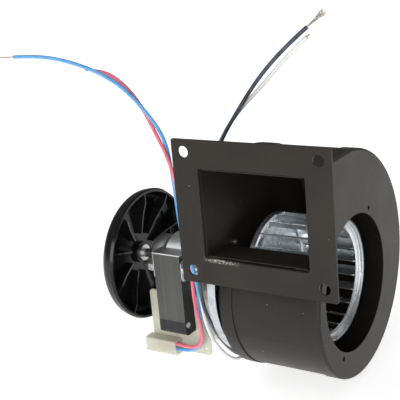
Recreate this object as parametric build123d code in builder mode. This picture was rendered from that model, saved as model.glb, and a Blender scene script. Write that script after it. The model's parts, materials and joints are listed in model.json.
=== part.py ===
"""Combustion fan: a scroll blower on a shaded-pole motor, hung by its outlet flange.

Frame: the shaft runs along X. +X is the inlet side, -X the motor side. Air leaves towards -Y,
through the outlet flange, whose front face lies in the plane Y = 0. +Z is up, and the origin is
the centre of the flange's four holes.
"""
from build123d import *
import math
import os

os.makedirs("parts", exist_ok=True)

# ---------------------------------------------------------------- driving dimensions (mm)
SHAFT_Y = 76.1
SHAFT_Z = -70.9
SHAFT_R = 3.96

FLANGE_W = 127.0
FLANGE_H = 110.0
FLANGE_T = 1.6
FLANGE_HOLE_R = 4.35
FLANGE_HOLE_DX = 107.4
FLANGE_HOLE_DZ = 91.0
FLANGE_CORNER = 1.5
COLLAR_DEPTH = 9.0
COLLAR_T = 1.0
MOUTH_ROUND = 0.95           # the flange's inner edge is rolled over by the press

SHEET = 0.8
HOUSING_HALF = 42.6          # outside of each side plate, from the middle of the scroll
RIM_DEPTH = 12.0             # how far each side plate's rim laps over the wrapper
RIM_BEND = 2.2
DUCT_FRONT = 2.6             # the duct's sheet ends this far behind the flange's face
SCROLL_TOP_R = 104.5         # from the shaft, straight up
SCROLL_CLOSING = 0.149       # the radius lost in each degree round the scroll
TONGUE_ANGLE = -218.0
TONGUE_R = 1.2
WRAPPER_JOINT_Z = -52.0
WRAPPER_GAP = 0.2            # between the wrapper's edges and the bends of the side plates

INLET_R = 53.5
INLET_SCREW_R = 58.5
INLET_SCREW_ANGLE = 61.5
MOTOR_HOLE_R = 16.0

WHEEL_R = 48.5
WHEEL_HALF = 28.4
WHEEL_BLADE_IN = 40.5
WHEEL_BLADES = 22
WHEEL_BAND = 4.4
WHEEL_SHEET = 0.7

STACK_LEFT = -125.8
STACK_RIGHT = -99.6
STACK_HALF = 30.15
STACK_SHOULDER = 13.3
STACK_JOINT = -45.2
STACK_BOTTOM = -57.8
LEG_W = 14.4
WINDOW_TOP = -17.5
CROWN_R = 18.6
BORE_R = 12.9
ROTOR_R = 12.5
BOLT_DY = 23.8
BOLT_R = 2.0
BOLT_HOLE_R = 2.1

PAN_R = 67.5
PAN_FACE = -51.0
PAN_SHEET = 0.9
PAN_BEND = 3.0
PAN_SCREW_REACH = 50.0
PAN_SCREW_ANGLES = (45, 135, 225, 315)

SCREW_HOLE_R = 1.9           # clearance for the sheet-metal screws
SCREW_R = 1.8
SCREW_TIP = 2.0              # how far a screw stands out behind the sheet
SCREW_HEAD_R = 3.6
SCREW_HEAD_H = 2.2

FAN_RIM = -149.0
FAN_BACK = -164.0
FAN_R = 57.2
FAN_BLADES = 10
FAN_WALL = 1.8

LEAD_R = 1.5
WIRE_R = 0.75


# ---------------------------------------------------------------- helpers
def across(x):
    """A plane square to the shaft at x: its own x is +Y, its own y is +Z, its normal is +X."""
    return Plane(origin=(x, SHAFT_Y, SHAFT_Z), x_dir=(0, 1, 0), z_dir=(1, 0, 0))


def along():
    """The plane through the shaft that turned shapes are drawn on: x is X, y is the radius."""
    return Plane(origin=(0, SHAFT_Y, SHAFT_Z), x_dir=(1, 0, 0), z_dir=(0, -1, 0))


SHAFT_LINE = Axis((0, SHAFT_Y, SHAFT_Z), (1, 0, 0))


def turned(points):
    """A solid turned about the shaft from a closed outline of (x, radius) points."""
    with BuildPart() as body:
        with BuildSketch(along()):
            with BuildLine():
                Polyline(*points, close=True)
            make_face()
        revolve(axis=SHAFT_LINE)
    return body.part


def tube(x0, x1, outer, inner, at=(0, 0)):
    """A tube parallel to the shaft from x0 to x1, its centre at (y, z) from the shaft."""
    with BuildPart() as body:
        with BuildSketch(across(x0)):
            with Locations(at):
                Circle(outer)
                if inner > 0:
                    Circle(inner, mode=Mode.SUBTRACT)
        extrude(amount=x1 - x0)
    return body.part


def save(part, name):
    """Label a finished piece and write it."""
    part.label = name
    export_step(part, f"parts/{name}.step")
    print(f"{name}: {part.volume:.0f} mm3 in {len(part.solids())} solids")


def scroll_point(angle, inset=0.0):
    """A point of the scroll's wall, at an angle in degrees from +Y towards +Z."""
    reach = SCROLL_TOP_R - SCROLL_CLOSING * (90 - angle) - inset
    turn = math.radians(angle)
    return (reach * math.cos(turn), reach * math.sin(turn))


TOP_Z = scroll_point(90)[1]
FLOOR_Z = scroll_point(TONGUE_ANGLE)[1]
MOUTH_Y = DUCT_FRONT - SHAFT_Y
SPARE = 6.0                  # extra duct drawn in front of the mouth, then trimmed square
SCROLL_ARCS = 14


def tongue_angle(inset):
    """The angle at which the scroll's wall, drawn in by inset, meets the duct's floor."""
    low, high = TONGUE_ANGLE - 12, TONGUE_ANGLE + 12
    for _ in range(40):
        middle = (low + high) / 2
        if scroll_point(middle, inset)[1] > FLOOR_Z + inset:
            low = middle
        else:
            high = middle
    return low


def housing_block(x0, x1, inset, bend=0.0):
    """The housing's outline, drawn in by inset, extruded from x0 to x1 with its x1 corner bent."""
    front = MOUTH_Y - SPARE
    top = TOP_Z - inset
    floor = FLOOR_Z + inset
    step = (tongue_angle(inset) - 90) / SCROLL_ARCS
    with BuildPart() as body:
        with BuildSketch(across(x0)) as outline:
            with BuildLine():
                Line((front, top), scroll_point(90, inset))
                for turn in range(SCROLL_ARCS):
                    angles = [90 + step * (turn + part / 2) for part in range(3)]
                    ThreePointArc(*[scroll_point(angle, inset) for angle in angles])
                tip = scroll_point(90 + step * SCROLL_ARCS, inset)
                Polyline(tip, (front, floor), (front, top))
            make_face()
            corner = outline.vertices().sort_by_distance((*tip, 0))[0]
            fillet(corner, TONGUE_R + inset)
        extrude(amount=x1 - x0)
        if bend > 0:
            fillet(body.faces().sort_by(Axis.X)[-1 if x1 > x0 else 0].edges(), bend)
    return body.part


def mouth_trim():
    """The block in front of the duct's square end."""
    with BuildPart() as body:
        with BuildSketch(Plane.XZ.offset(-DUCT_FRONT)):
            Rectangle(3 * FLANGE_W, 3 * FLANGE_H)
        extrude(amount=3 * SPARE)
    return body.part


# ---------------------------------------------------------------- the scroll housing
def side_plate(side, hole_r, screw_reach, screw_angles):
    """One side of the scroll: a flat plate with a bent rim that laps over the wrapper."""
    face_x = side * HOUSING_HALF
    inner_x = side * (HOUSING_HALF - RIM_DEPTH)
    skin = housing_block(inner_x, face_x, 0, RIM_BEND)
    core = housing_block(inner_x, face_x - side * SHEET, SHEET, RIM_BEND - SHEET)
    with BuildPart() as plate:
        add(skin)
        add(core, mode=Mode.SUBTRACT)
        add(mouth_trim(), mode=Mode.SUBTRACT)
        with BuildSketch(across(face_x - 2 * side * SHEET)):
            Circle(hole_r)
            for angle in screw_angles:
                with PolarLocations(screw_reach, 1, angle):
                    Circle(SCREW_HOLE_R)
        extrude(amount=3 * side * SHEET, mode=Mode.SUBTRACT)
    return plate.part


inlet_angles = (INLET_SCREW_ANGLE, INLET_SCREW_ANGLE + 180)
save(side_plate(1, INLET_R, INLET_SCREW_R, inlet_angles), "inlet_side_plate")
save(side_plate(-1, MOTOR_HOLE_R, PAN_SCREW_REACH, PAN_SCREW_ANGLES), "motor_side_plate")

wrapper_half = HOUSING_HALF - RIM_BEND - WRAPPER_GAP
with BuildPart() as wrapper_ring:
    add(housing_block(-wrapper_half, wrapper_half, SHEET))
    add(housing_block(-wrapper_half, wrapper_half, 2 * SHEET), mode=Mode.SUBTRACT)
    add(mouth_trim(), mode=Mode.SUBTRACT)
TONGUE_ZONE = (50.0, 30.0)   # the region, from the flange back and from the joint up, of the cut-off
with BuildPart() as tongue_zone:
    with BuildSketch(Plane.YZ.offset(-HOUSING_HALF)):
        with Locations((0, WRAPPER_JOINT_Z)):
            Rectangle(*TONGUE_ZONE, align=(Align.MIN, Align.MIN))
    extrude(amount=2 * HOUSING_HALF)
with BuildPart() as wrapper:
    add(wrapper_ring.part)
    add(tongue_zone.part, mode=Mode.SUBTRACT)
save(wrapper.part, "scroll_wrapper")
with BuildPart() as cutoff:
    add(wrapper_ring.part)
    add(tongue_zone.part, mode=Mode.INTERSECT)
save(cutoff.part, "cutoff_plate")

with BuildPart() as flange:
    with BuildSketch(Plane.XZ):
        RectangleRounded(FLANGE_W, FLANGE_H, FLANGE_CORNER)
        with GridLocations(FLANGE_HOLE_DX, FLANGE_HOLE_DZ, 2, 2):
            Circle(FLANGE_HOLE_R, mode=Mode.SUBTRACT)
    extrude(amount=-FLANGE_T)
    duct_w = 2 * HOUSING_HALF
    duct_h = TOP_Z - FLOOR_Z
    duct_mid = (TOP_Z + FLOOR_Z) / 2 + SHAFT_Z
    with BuildSketch(Plane.XZ):
        with Locations((0, duct_mid)):
            RectangleRounded(duct_w + 2 * COLLAR_T, duct_h + 2 * COLLAR_T, RIM_BEND + COLLAR_T)
    extrude(amount=-COLLAR_DEPTH)
    with BuildSketch(Plane.XZ):
        with Locations((0, duct_mid)):
            RectangleRounded(duct_w, duct_h, RIM_BEND)
    extrude(amount=-COLLAR_DEPTH, mode=Mode.SUBTRACT)
    mouth_wires = flange.faces().sort_by(Axis.Y)[0].inner_wires().sort_by(SortBy.LENGTH)
    fillet(mouth_wires[-1].edges(), MOUTH_ROUND)
save(flange.part, "outlet_flange")

# ---------------------------------------------------------------- the motor's mounting pan
with BuildPart() as pan:
    add(turned([(-HOUSING_HALF, PAN_R), (-HOUSING_HALF, PAN_R - PAN_SHEET),
                (PAN_FACE + PAN_SHEET, PAN_R - PAN_SHEET), (PAN_FACE + PAN_SHEET, MOTOR_HOLE_R),
                (PAN_FACE, MOTOR_HOLE_R), (PAN_FACE, PAN_R)]))
    pan_rim = pan.edges().filter_by(GeomType.CIRCLE).group_by(Axis.X)[0].sort_by(SortBy.RADIUS)[-1]
    fillet(pan_rim, PAN_BEND)
    with BuildSketch(across(PAN_FACE)):
        with PolarLocations(BOLT_DY, 2):
            Circle(BOLT_HOLE_R)
        for angle in PAN_SCREW_ANGLES:
            with PolarLocations(PAN_SCREW_REACH, 1, angle):
                Circle(SCREW_HOLE_R)
    extrude(amount=PAN_SHEET, mode=Mode.SUBTRACT)
save(pan.part, "motor_mount_pan")

with BuildPart() as pan_screws:
    for angle in PAN_SCREW_ANGLES:
        turn = math.radians(angle)
        spot = (PAN_SCREW_REACH * math.cos(turn), PAN_SCREW_REACH * math.sin(turn))
        add(tube(PAN_FACE, SHEET - HOUSING_HALF + SCREW_TIP, SCREW_R, 0, spot))
        add(tube(PAN_FACE - SCREW_HEAD_H, PAN_FACE, SCREW_HEAD_R, 0, spot))
save(pan_screws.part, "mount_pan_screws")

# ---------------------------------------------------------------- the motor's iron
STACK_W = STACK_RIGHT - STACK_LEFT
LEG_IN = STACK_HALF - LEG_W
COPPER_R = 1.2
COPPER_SPOTS = [(15.2, 5.0), (15.2, -6.0), (-15.2, 6.0), (-15.2, -5.0)]
RIVET_Y = STACK_HALF - 3.4
RIVET_Z = STACK_JOINT - 3.0
RIVET_SPOTS = [(RIVET_Y, RIVET_Z), (-RIVET_Y, RIVET_Z)]
RIVET_R = 1.7
RIVET_HEAD_R = 2.4
RIVET_HEAD_H = 1.0
YOKE_NOTCH = 2.0
YOKE_CORNER = 4.0

with BuildPart() as stack:
    with BuildSketch(across(STACK_LEFT)):
        with BuildLine():
            Polyline((-STACK_HALF, STACK_SHOULDER), (STACK_HALF, STACK_SHOULDER),
                     (STACK_HALF, STACK_JOINT), (LEG_IN, STACK_JOINT), (LEG_IN, WINDOW_TOP),
                     (-LEG_IN, WINDOW_TOP), (-LEG_IN, STACK_JOINT), (-STACK_HALF, STACK_JOINT),
                     close=True)
        make_face()
        Circle(CROWN_R)
        Circle(BORE_R, mode=Mode.SUBTRACT)
        with PolarLocations(BOLT_DY, 2):
            Circle(BOLT_HOLE_R, mode=Mode.SUBTRACT)
        with Locations(*COPPER_SPOTS):
            Circle(COPPER_R, mode=Mode.SUBTRACT)
    extrude(amount=STACK_W)
save(stack.part, "stator_stack")

with BuildPart() as yoke:
    with BuildSketch(across(STACK_LEFT)):
        with Locations((0, STACK_BOTTOM)):
            Rectangle(2 * STACK_HALF, STACK_JOINT - STACK_BOTTOM, align=(Align.CENTER, Align.MIN))
        with Locations((0, STACK_BOTTOM)):
            Rectangle(2 * LEG_IN, YOKE_NOTCH, align=(Align.CENTER, Align.MIN), mode=Mode.SUBTRACT)
        with Locations(*RIVET_SPOTS):
            Circle(RIVET_R, mode=Mode.SUBTRACT)
    extrude(amount=STACK_W)
    low = yoke.edges().filter_by(Axis.X).group_by(Axis.Z)[0].sort_by(Axis.Y)
    fillet([low[0], low[-1]], YOKE_CORNER)
save(yoke.part, "coil_yoke")

with BuildPart() as rivets:
    for spot in RIVET_SPOTS:
        add(tube(STACK_LEFT, STACK_RIGHT, RIVET_R, 0, spot))
        add(tube(STACK_LEFT - RIVET_HEAD_H, STACK_LEFT, RIVET_HEAD_R, 0, spot))
        add(tube(STACK_RIGHT, STACK_RIGHT + RIVET_HEAD_H, RIVET_HEAD_R, 0, spot))
save(rivets.part, "yoke_rivets")

with BuildPart() as copper:
    for spot in COPPER_SPOTS:
        add(tube(STACK_LEFT - 2 * COPPER_R, STACK_RIGHT + 2 * COPPER_R, COPPER_R, 0, spot))
    for x in (STACK_LEFT - 2 * COPPER_R, STACK_RIGHT):
        for side in (1, -1):
            pair = [spot for spot in COPPER_SPOTS if spot[0] * side > 0]
            with BuildSketch(across(x)):
                with Locations((pair[0][0], (pair[0][1] + pair[1][1]) / 2)):
                    SlotCenterToCenter(abs(pair[0][1] - pair[1][1]), 2 * COPPER_R, rotation=90)
            extrude(amount=2 * COPPER_R)
save(copper.part, "shading_rings")

# ---------------------------------------------------------------- the coil
COIL_X = (STACK_LEFT + STACK_RIGHT) / 2
BOBBIN_CLEAR = 0.2
BOBBIN_WALL = 1.4
BOBBIN_HALF = LEG_IN - 0.2
BOBBIN_LEFT = -31.7          # the flanges' sides, from the coil's middle
BOBBIN_RIGHT = 26.8
BOBBIN_NOTCH = 7.5           # the flanges are narrower on the wheel's side, above the notch
NOTCH_HIGH = -49.0
NOTCH_LOW = -64.0
TIE_HOLE = (21.3, -74.4)     # a small hole in each flange's corner, for the winding's tail
TIE_HOLE_R = 1.3
BOBBIN_TOP = -26.5
BOBBIN_BOTTOM = -79.5
COIL_TOP = -28.8
COIL_BOTTOM = -74.5
COIL_W = 37.0
TAPE = 0.6
COIL_CORNER = 5.0
SPOOL_CORNER = 1.0
FLANGE_ROUND = 3.0


def coil_plane(y):
    """A plane square to the coil's axis at y from the shaft: its own x is +X, its own y is +Z."""
    return Plane(origin=(COIL_X, SHAFT_Y + y, SHAFT_Z), x_dir=(1, 0, 0), z_dir=(0, -1, 0))


def coil_ring(y_from, y_to, width, top, bottom, hole_w, hole_top, hole_bottom,
              corner, hole_corner=0.1):
    """A rectangular ring about the yoke, from y_from back to y_to."""
    with BuildPart() as ring:
        with BuildSketch(coil_plane(y_from)):
            with Locations((0, (top + bottom) / 2)):
                RectangleRounded(width, top - bottom, corner)
            with Locations((0, (hole_top + hole_bottom) / 2)):
                RectangleRounded(hole_w, hole_top - hole_bottom, hole_corner, mode=Mode.SUBTRACT)
        extrude(amount=-(y_to - y_from))
    return ring.part


core_w = STACK_W + 2 * BOBBIN_CLEAR
core_top = STACK_JOINT + BOBBIN_CLEAR
core_bottom = STACK_BOTTOM - BOBBIN_CLEAR
spool_w = core_w + 2 * BOBBIN_WALL
spool_top = core_top + BOBBIN_WALL
spool_bottom = core_bottom - BOBBIN_WALL
flange_y = BOBBIN_HALF - BOBBIN_WALL


def bobbin_flange(y):
    """One of the bobbin's two end flanges, notched on the wheel's side."""
    with BuildPart() as end:
        with BuildSketch(coil_plane(y)) as outline:
            with BuildLine():
                Polyline((BOBBIN_LEFT, BOBBIN_BOTTOM), (BOBBIN_RIGHT, BOBBIN_BOTTOM),
                         (BOBBIN_RIGHT, NOTCH_LOW), (BOBBIN_RIGHT - BOBBIN_NOTCH, NOTCH_HIGH),
                         (BOBBIN_RIGHT - BOBBIN_NOTCH, BOBBIN_TOP), (BOBBIN_LEFT, BOBBIN_TOP), close=True)
            make_face()
            fillet(outline.vertices(), FLANGE_ROUND)
            with Locations((0, (core_top + core_bottom) / 2)):
                Rectangle(core_w, core_top - core_bottom, mode=Mode.SUBTRACT)
            with Locations(TIE_HOLE):
                Circle(TIE_HOLE_R, mode=Mode.SUBTRACT)
        extrude(amount=-BOBBIN_WALL)
    return end.part


with BuildPart() as bobbin:
    add(bobbin_flange(-BOBBIN_HALF))
    add(bobbin_flange(flange_y))
    add(coil_ring(-flange_y, flange_y, spool_w, spool_top, spool_bottom,
                  core_w, core_top, core_bottom, SPOOL_CORNER))
save(bobbin.part, "coil_bobbin")
save(coil_ring(-flange_y, flange_y, COIL_W, COIL_TOP, COIL_BOTTOM,
               spool_w, spool_top, spool_bottom, COIL_CORNER, SPOOL_CORNER), "coil_winding")
save(coil_ring(-flange_y, flange_y, COIL_W + 2 * TAPE, COIL_TOP + TAPE, COIL_BOTTOM - TAPE,
               COIL_W, COIL_TOP, COIL_BOTTOM, COIL_CORNER + TAPE, COIL_CORNER), "coil_tape")

# ---------------------------------------------------------------- bearings and their brackets
CUP_R = 19.1
HOOD_R = 23.0
HOOD_BEND = 3.5
ZINC = 1.0
REAR_CUP = -137.2
FRONT_CUP = -88.2
BEARING_R = 8.0
CAP_NUT_R = 4.6
SCALLOP_R = 5.2              # the cups are dented beside each bolt, to clear the spacers
CONE_L = 6.0                 # the hood widens from the cup over this length
CUP_ROUND = 0.9


def bracket_plate(x, top):
    """The bracket's flat foot against the stack, with its two bolt holes."""
    with BuildPart() as foot:
        with BuildSketch(across(x)):
            with Locations((0, (top - 9) / 2)):
                RectangleRounded(2 * STACK_HALF - 1, top + 9, 3)
            Circle(CUP_R - ZINC, mode=Mode.SUBTRACT)
            with PolarLocations(BOLT_DY, 2):
                Circle(BOLT_HOLE_R, mode=Mode.SUBTRACT)
        extrude(amount=ZINC)
    return foot.part


foot_x = STACK_LEFT - ZINC
with BuildPart() as hood:
    add(turned([(foot_x, CUP_R), (foot_x + CONE_L, HOOD_R), (STACK_RIGHT, HOOD_R),
                (STACK_RIGHT, 0), (foot_x, 0)]))
    with BuildSketch(Plane.XY.offset(SHAFT_Z + STACK_SHOULDER)):
        with Locations(((foot_x + STACK_RIGHT) / 2, SHAFT_Y)):
            Rectangle(STACK_RIGHT - foot_x, 2 * STACK_HALF)
    extrude(amount=ZINC)
    seam_z = SHAFT_Z + STACK_SHOULDER + ZINC
    seams = hood.edges().filter_by(Axis.X).filter_by_position(Axis.Z, seam_z - 0.01, seam_z + 0.01)
    fillet(seams.filter_by_position(Axis.Y, SHAFT_Y - HOOD_R, SHAFT_Y + HOOD_R), HOOD_BEND)
    with BuildSketch(Plane.XY.offset(SHAFT_Z + STACK_SHOULDER)):
        with Locations(((foot_x + STACK_RIGHT) / 2, SHAFT_Y)):
            Rectangle(3 * STACK_W, 4 * STACK_HALF)
    extrude(amount=-2 * HOOD_R, mode=Mode.SUBTRACT)
    hollow = turned([(foot_x - ZINC, CUP_R - ZINC), (foot_x, CUP_R - ZINC),
                     (foot_x + CONE_L, HOOD_R - ZINC), (STACK_RIGHT + ZINC, HOOD_R - ZINC),
                     (STACK_RIGHT + ZINC, 0), (foot_x - ZINC, 0)])
    add(hollow, mode=Mode.SUBTRACT)

with BuildPart() as rear_cup:
    add(turned([(foot_x + ZINC, CUP_R), (REAR_CUP, CUP_R), (REAR_CUP, BEARING_R),
                (REAR_CUP + ZINC, BEARING_R), (REAR_CUP + ZINC, CUP_R - ZINC),
                (foot_x + ZINC, CUP_R - ZINC)]))
    rim = rear_cup.edges().filter_by(GeomType.CIRCLE).group_by(Axis.X)[0].sort_by(SortBy.RADIUS)[-1]
    fillet(rim, CUP_ROUND)
with BuildPart() as rear_bracket:
    add(rear_cup.part)
    with BuildSketch(across(REAR_CUP - ZINC)):
        with PolarLocations(BOLT_DY, 2):
            Circle(SCALLOP_R)
    extrude(amount=foot_x - REAR_CUP + ZINC, mode=Mode.SUBTRACT)
    add(bracket_plate(foot_x, STACK_SHOULDER + ZINC))
    add(hood.part)
save(rear_bracket.part, "rear_bearing_bracket")

with BuildPart() as front_cup:
    add(turned([(STACK_RIGHT, CUP_R), (FRONT_CUP, CUP_R), (FRONT_CUP, BEARING_R),
                (FRONT_CUP - ZINC, BEARING_R), (FRONT_CUP - ZINC, CUP_R - ZINC),
                (STACK_RIGHT, CUP_R - ZINC)]))
    rim = front_cup.edges().filter_by(GeomType.CIRCLE).group_by(Axis.X)[-1].sort_by(SortBy.RADIUS)[-1]
    fillet(rim, CUP_ROUND)
    with BuildSketch(across(STACK_RIGHT)):
        with PolarLocations(BOLT_DY, 2):
            Circle(SCALLOP_R)
    extrude(amount=FRONT_CUP - STACK_RIGHT + ZINC, mode=Mode.SUBTRACT)
    add(bracket_plate(STACK_RIGHT, 9))
save(front_cup.part, "front_bearing_bracket")

BEARING_GAP = 0.02
BEARING_L = 8.0
rear_bearing_x = REAR_CUP - 2.0
front_bearing_x = FRONT_CUP + 2.0 - BEARING_L
for name, x0 in (("rear_bearing", rear_bearing_x), ("front_bearing", front_bearing_x)):
    save(tube(x0, x0 + BEARING_L, BEARING_R, SHAFT_R + BEARING_GAP), name)
FELT_T = 3.0
FELT_R = 13.0
for name, x0 in (("rear_oil_felt", REAR_CUP + ZINC), ("front_oil_felt", FRONT_CUP - ZINC - FELT_T)):
    save(tube(x0, x0 + FELT_T, FELT_R, BEARING_R), name)

# ---------------------------------------------------------------- bolts, spacers and nuts
SPACER_R = 5.0
SPACER_FROM = STACK_RIGHT + ZINC
NUT_H = 3.2
NUT_R = 4.0
CAP_NUT_L = 6.5
CAP_NUT_BORE = 4.0
CAP_NUT_DOME = 7.5
CAP_NUT_TAPER = 13
CAP_NUT_TIP = 1.8
BOLT_END = PAN_FACE + PAN_SHEET + NUT_H + 1.5
BOLT_SPOTS = [(BOLT_DY, 0), (-BOLT_DY, 0)]

with BuildPart() as spacers:
    for spot in BOLT_SPOTS:
        add(tube(SPACER_FROM, PAN_FACE, SPACER_R, BOLT_HOLE_R, spot))
save(spacers.part, "motor_spacers")

with BuildPart() as bolts:
    for spot in BOLT_SPOTS:
        add(tube(foot_x - CAP_NUT_BORE, BOLT_END, BOLT_R, 0, spot))
save(bolts.part, "through_bolts")

with BuildPart() as cap_nuts:
    with BuildSketch(across(foot_x)):
        with Locations(*BOLT_SPOTS):
            RegularPolygon(CAP_NUT_R, 6, major_radius=False, rotation=30)
            Circle(BOLT_R, mode=Mode.SUBTRACT)
    extrude(amount=-CAP_NUT_BORE)
    with BuildSketch(across(foot_x - CAP_NUT_BORE)):
        with Locations(*BOLT_SPOTS):
            RegularPolygon(CAP_NUT_R, 6, major_radius=False, rotation=30)
    extrude(amount=CAP_NUT_BORE - CAP_NUT_L)
    with BuildSketch(across(foot_x - CAP_NUT_L)):
        with Locations(*BOLT_SPOTS):
            Circle(CAP_NUT_R - 0.4)
    extrude(amount=-CAP_NUT_DOME, taper=CAP_NUT_TAPER)
    tips = cap_nuts.faces().filter_by(Axis.X).group_by(Axis.X)[0]
    fillet(tips.edges(), CAP_NUT_TIP)
save(cap_nuts.part, "cap_nuts")

with BuildPart() as pan_nuts:
    with BuildSketch(across(PAN_FACE + PAN_SHEET)):
        with Locations(*BOLT_SPOTS):
            RegularPolygon(NUT_R, 6, major_radius=False)
            Circle(BOLT_R, mode=Mode.SUBTRACT)
    extrude(amount=NUT_H)
save(pan_nuts.part, "pan_nuts")

# ---------------------------------------------------------------- everything that spins
SHAFT_LEFT = -168.5
SHAFT_RIGHT = -6.0
END_RING = 3.2
END_RING_R = ROTOR_R - 0.6
END_RING_IN = SHAFT_R + 3.0
SHAFT_CHAMFER = 0.5
WASHER_R = 6.5
WASHER_T = 0.8
WASHER_GAP = 0.3
with BuildPart() as shaft:
    add(tube(SHAFT_LEFT, SHAFT_RIGHT, SHAFT_R, 0))
    chamfer(shaft.edges().filter_by(GeomType.CIRCLE), SHAFT_CHAMFER)
save(shaft.part, "motor_shaft")
save(tube(STACK_LEFT, STACK_RIGHT, ROTOR_R, SHAFT_R), "rotor_core")
with BuildPart() as end_rings:
    add(tube(STACK_LEFT - END_RING, STACK_LEFT, END_RING_R, END_RING_IN))
    add(tube(STACK_RIGHT, STACK_RIGHT + END_RING, END_RING_R, END_RING_IN))
save(end_rings.part, "rotor_end_rings")
with BuildPart() as washers:
    for x0 in (rear_bearing_x + BEARING_L + WASHER_GAP, front_bearing_x - WASHER_GAP - WASHER_T):
        add(tube(x0, x0 + WASHER_T, WASHER_R, SHAFT_R))
save(washers.part, "thrust_washers")

# the squirrel-cage wheel
BAND_WEB = WHEEL_HALF - WHEEL_BAND
WEB_T = 0.8
BAND_IN = WHEEL_BLADE_IN + 0.4
BAND_R = WHEEL_R - 0.6
NECK_R = WHEEL_R - 1.4
BEAD_IN = WHEEL_R - 2.2
BEAD_T = 1.8
LIP_T = 1.2
for name, side in (("wheel_outer_ring", 1), ("wheel_inner_ring", -1)):
    save(turned([(side * BAND_WEB, BAND_IN), (side * (BAND_WEB + WEB_T), BAND_IN),
                 (side * (BAND_WEB + WEB_T), NECK_R), (side * (WHEEL_HALF - LIP_T), NECK_R),
                 (side * (WHEEL_HALF - LIP_T), BEAD_IN), (side * WHEEL_HALF, BEAD_IN),
                 (side * WHEEL_HALF, WHEEL_R), (side * (WHEEL_HALF - BEAD_T), WHEEL_R),
                 (side * (WHEEL_HALF - BEAD_T), BAND_R), (side * BAND_WEB, BAND_R)]), name)

BLADE_SWEEP = 6.5
BLADE_BELLY = 2.0
BLADE_CORNER = 3.0           # each blade's inner corners are rounded, as the press leaves them
BLADE_TIP = WHEEL_R - 1.2
blade_mid = (WHEEL_BLADE_IN + BLADE_TIP) / 2
with BuildPart() as one_blade:
    with BuildSketch(across(-BAND_WEB)):
        with BuildLine():
            root = ThreePointArc((WHEEL_BLADE_IN, 0), (blade_mid, BLADE_BELLY), (BLADE_TIP, BLADE_SWEEP))
            offset(root, amount=WHEEL_SHEET / 2)
        make_face()
    extrude(amount=2 * BAND_WEB)
with BuildPart() as blade_zone:
    with BuildSketch(along()) as zone_shape:
        with Locations((0, WHEEL_BLADE_IN - WHEEL_SHEET / 2)):
            Rectangle(2 * BAND_WEB, WHEEL_R - WHEEL_BLADE_IN, align=(Align.CENTER, Align.MIN))
        fillet(zone_shape.vertices().group_by(Axis.Y)[0], BLADE_CORNER)
    revolve(axis=SHAFT_LINE)
with BuildPart() as round_blade:
    add(one_blade.part)
    add(blade_zone.part, mode=Mode.INTERSECT)
with BuildPart() as blades:
    for step in range(WHEEL_BLADES):
        add(round_blade.part.rotate(SHAFT_LINE, step * 360 / WHEEL_BLADES))
save(blades.part, "wheel_blades")

HUB_R = 11.0
HUB_L = 17.0
SPIGOT_R = SHAFT_R + 5.0     # the hub's step that the back plate is riveted round
BACK_LAP = 3.0
SET_SCREW_R = 2.4
SET_SCREW_L = 6.0
back_x = -BAND_WEB - WEB_T
with BuildPart() as back_plate:
    add(turned([(back_x, SPIGOT_R), (back_x, BAND_IN + BACK_LAP),
                (back_x - WEB_T, BAND_IN + BACK_LAP), (back_x - WEB_T, SPIGOT_R)]))
save(back_plate.part, "wheel_back_plate")
with BuildPart() as wheel_hub:
    add(turned([(back_x - WEB_T, SHAFT_R), (back_x - WEB_T, SPIGOT_R), (back_x, SPIGOT_R),
                (back_x, HUB_R), (back_x + HUB_L, HUB_R), (back_x + HUB_L, SHAFT_R)]))
    with BuildSketch(Plane.XY.offset(SHAFT_Z)):
        with Locations((back_x + HUB_L * 0.6, SHAFT_Y)):
            Circle(SET_SCREW_R)
    extrude(amount=2 * HUB_R, mode=Mode.SUBTRACT)
save(wheel_hub.part, "wheel_hub")
with BuildPart() as wheel_screw:
    with BuildSketch(Plane.XY.offset(SHAFT_Z + SHAFT_R)):
        with Locations((back_x + HUB_L * 0.6, SHAFT_Y)):
            Circle(SET_SCREW_R)
    extrude(amount=SET_SCREW_L)
save(wheel_screw.part, "wheel_set_screw")

# the motor's cooling fan
FAN_HUB_R = 7.0
FAN_EYE_R = 9.5
FAN_FLOOR = FAN_BACK + FAN_WALL
with BuildPart() as bowl:
    with BuildSketch(along()):
        with BuildLine():
            outside = Polyline((FAN_BACK, FAN_HUB_R), (FAN_BACK, FAN_R - 11))
            bend = ThreePointArc(outside @ 1, (FAN_BACK + 3.2, FAN_R - 3.6), (FAN_BACK + 9, FAN_R - 0.6))
            lip = Polyline(bend @ 1, (FAN_RIM - 2, FAN_R), (FAN_RIM, FAN_R - 1.2),
                           (FAN_RIM, FAN_R - 1.2 - FAN_WALL), (FAN_BACK + 9.4, FAN_R - 0.8 - FAN_WALL))
            inside = ThreePointArc(lip @ 1, (FAN_BACK + 4.5, FAN_R - 5.2), (FAN_FLOOR, FAN_R - 11.4))
            Polyline(inside @ 1, (FAN_FLOOR, FAN_EYE_R), (FAN_FLOOR + 3.5, FAN_EYE_R),
                     (FAN_FLOOR + 3.5, FAN_HUB_R), (FAN_BACK, FAN_HUB_R))
        make_face()
    revolve(axis=SHAFT_LINE)
BLADE_T = 1.4
BLADE_IN = 17.0
BLADE_OUT = FAN_R - 3.0
with BuildPart() as one_vane:
    with BuildSketch(along()):
        with BuildLine():
            Polyline((FAN_FLOOR - 0.5, BLADE_IN), (FAN_FLOOR + 4, BLADE_IN), (FAN_RIM - 5.5, BLADE_IN + 17),
                     (FAN_RIM - 1.4, BLADE_OUT - 8), (FAN_RIM - 1.4, BLADE_OUT), (FAN_BACK + 9, BLADE_OUT),
                     (FAN_BACK + 4, BLADE_OUT - 3.6), (FAN_FLOOR - 0.5, BLADE_OUT - 10), close=True)
        make_face()
    extrude(amount=BLADE_T / 2, both=True)
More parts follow.
